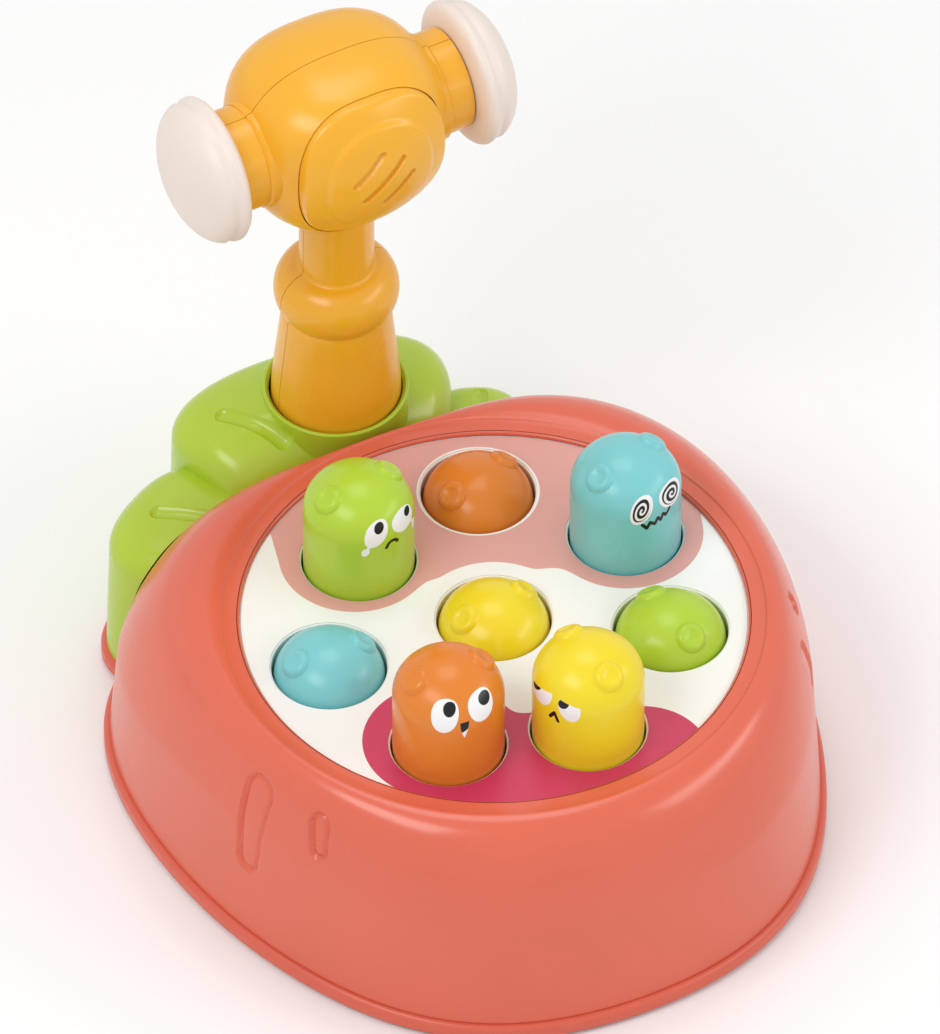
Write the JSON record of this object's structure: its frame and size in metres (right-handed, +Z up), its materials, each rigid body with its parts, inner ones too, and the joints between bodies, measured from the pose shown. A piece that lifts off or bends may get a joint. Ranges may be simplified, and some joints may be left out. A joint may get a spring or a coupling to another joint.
{
  "type": "mole pounding game",
  "caption": "Toddler mole pounding game: carrot shaped housing with see-saw mole pairs under a round panel, leaf cluster with a socket and a lift-out toy hammer.",
  "frame": {"origin": "on the surface the toy stands on, under the middle of the bounding box of the whole toy with its hammer", "axes": "+Z up; -Y is the front, where the carrot points; +Y is the back, with the leaves and the hammer socket; +X to the right"},
  "size_m": [0.201, 0.235, 0.2058],
  "materials": {
    "coral_shell": "satin gloss",
    "leaf_green": "satin gloss",
    "panel_white": "satin gloss",
    "printed_sheet": "printed film, pink and magenta areas on white",
    "inner_white": "matt",
    "hammer_amber": "satin gloss",
    "pad_cream": "soft, matt",
    "foot_rubber": "matt",
    "axle_steel": "plain",
    "mole_orange": "satin gloss",
    "mole_blue": "satin gloss",
    "mole_green": "satin gloss",
    "mole_yellow": "satin gloss"
  },
  "bodies": {
    "housing": {"base_plate": "coral_shell", "body_shell": "coral_shell", "leaf_cover": "leaf_green", "game_panel": "panel_white", "printed_sheet": "printed_sheet", "rubber_foot_1": "foot_rubber", "rubber_foot_2": "foot_rubber", "rubber_foot_3": "foot_rubber", "rubber_foot_4": "foot_rubber", "rocker_axle_a": "axle_steel", "rocker_axle_b": "axle_steel", "rocker_axle_c": "axle_steel", "rocker_axle_d": "axle_steel"},
    "mole_a_blue": {"mole_cap_a_blue": "mole_blue", "mole_plunger_a_blue": "inner_white"},
    "mole_a_orange": {"mole_cap_a_orange": "mole_orange", "mole_plunger_a_orange": "inner_white"},
    "rocker_a": {"rocker_a": "inner_white"},
    "mole_b_yellow": {"mole_cap_b_yellow": "mole_yellow", "mole_plunger_b_yellow": "inner_white"},
    "mole_b_green": {"mole_cap_b_green": "mole_green", "mole_plunger_b_green": "inner_white"},
    "rocker_b": {"rocker_b": "inner_white"},
    "mole_c_orange": {"mole_cap_c_orange": "mole_orange", "mole_plunger_c_orange": "inner_white"},
    "mole_c_blue": {"mole_cap_c_blue": "mole_blue", "mole_plunger_c_blue": "inner_white"},
    "rocker_c": {"rocker_c": "inner_white"},
    "mole_d_green": {"mole_cap_d_green": "mole_green", "mole_plunger_d_green": "inner_white"},
    "mole_d_yellow": {"mole_cap_d_yellow": "mole_yellow", "mole_plunger_d_yellow": "inner_white"},
    "rocker_d": {"rocker_d": "inner_white"},
    "hammer": {"hammer_front_shell": "hammer_amber", "hammer_rear_shell": "hammer_amber", "hammer_face_plate": "hammer_amber", "hammer_pad_left": "pad_cream", "hammer_pad_right": "pad_cream"}
  },
  "joints": [
    {"name": "mole_a_blue_slide", "type": "slide", "parent": "housing", "child": "mole_a_blue", "axis": [0, 0, 1], "range_m": [-0.0246, 0]},
    {"name": "mole_a_orange_slide", "type": "slide", "parent": "housing", "child": "mole_a_orange", "axis": [0, 0, 1], "range_m": [0, 0.0247]},
    {"name": "rocker_a_tilt", "type": "hinge", "parent": "housing", "child": "rocker_a", "pos_m": [0.03334, 0.01302, 0.0234], "axis": [0.7373, 0.6756, 0], "range_deg": [0, 60.68]},
    {"name": "mole_b_yellow_slide", "type": "slide", "parent": "housing", "child": "mole_b_yellow", "axis": [0, 0, 1], "range_m": [-0.0246, 0]},
    {"name": "mole_b_green_slide", "type": "slide", "parent": "housing", "child": "mole_b_green", "axis": [0, 0, 1], "range_m": [0, 0.0247]},
    {"name": "rocker_b_tilt", "type": "hinge", "parent": "housing", "child": "rocker_b", "pos_m": [0.0243, -0.05568, 0.0234], "axis": [0.5373, -0.8434, 0], "range_deg": [0, 60.68]},
    {"name": "mole_c_orange_slide", "type": "slide", "parent": "housing", "child": "mole_c_orange", "axis": [0, 0, 1], "range_m": [-0.0246, 0]},
    {"name": "mole_c_blue_slide", "type": "slide", "parent": "housing", "child": "mole_c_blue", "axis": [0, 0, 1], "range_m": [0, 0.0247]},
    {"name": "rocker_c_tilt", "type": "hinge", "parent": "housing", "child": "rocker_c", "pos_m": [-0.04178, -0.03484, 0.0234], "axis": [0.9239, 0.3827, 0], "range_deg": [0, 60.68]},
    {"name": "mole_d_green_slide", "type": "slide", "parent": "housing", "child": "mole_d_green", "axis": [0, 0, 1], "range_m": [-0.0246, 0]},
    {"name": "mole_d_yellow_slide", "type": "slide", "parent": "housing", "child": "mole_d_yellow", "axis": [0, 0, 1], "range_m": [0, 0.0247]},
    {"name": "rocker_d_tilt", "type": "hinge", "parent": "housing", "child": "rocker_d", "pos_m": [-0.0122, 0.00161, 0.0234], "axis": [-0.8434, -0.5373, 0], "range_deg": [0, 60.68]},
    {"name": "hammer_lift", "type": "slide", "parent": "housing", "child": "hammer", "axis": [0, 0, 1], "range_m": [0, 0.03]}
  ],
  "couplings": [
    {"joint": "mole_a_orange_slide", "follows": "mole_a_blue_slide", "ratio": -1},
    {"joint": "rocker_a_tilt", "follows": "mole_a_blue_slide", "rad_per_m": -43.017},
    {"joint": "mole_b_green_slide", "follows": "mole_b_yellow_slide", "ratio": -1},
    {"joint": "rocker_b_tilt", "follows": "mole_b_yellow_slide", "rad_per_m": -43.017},
    {"joint": "mole_c_blue_slide", "follows": "mole_c_orange_slide", "ratio": -1},
    {"joint": "rocker_c_tilt", "follows": "mole_c_orange_slide", "rad_per_m": -43.017},
    {"joint": "mole_d_yellow_slide", "follows": "mole_d_green_slide", "ratio": -1},
    {"joint": "rocker_d_tilt", "follows": "mole_d_green_slide", "rad_per_m": -43.017}
  ]
}
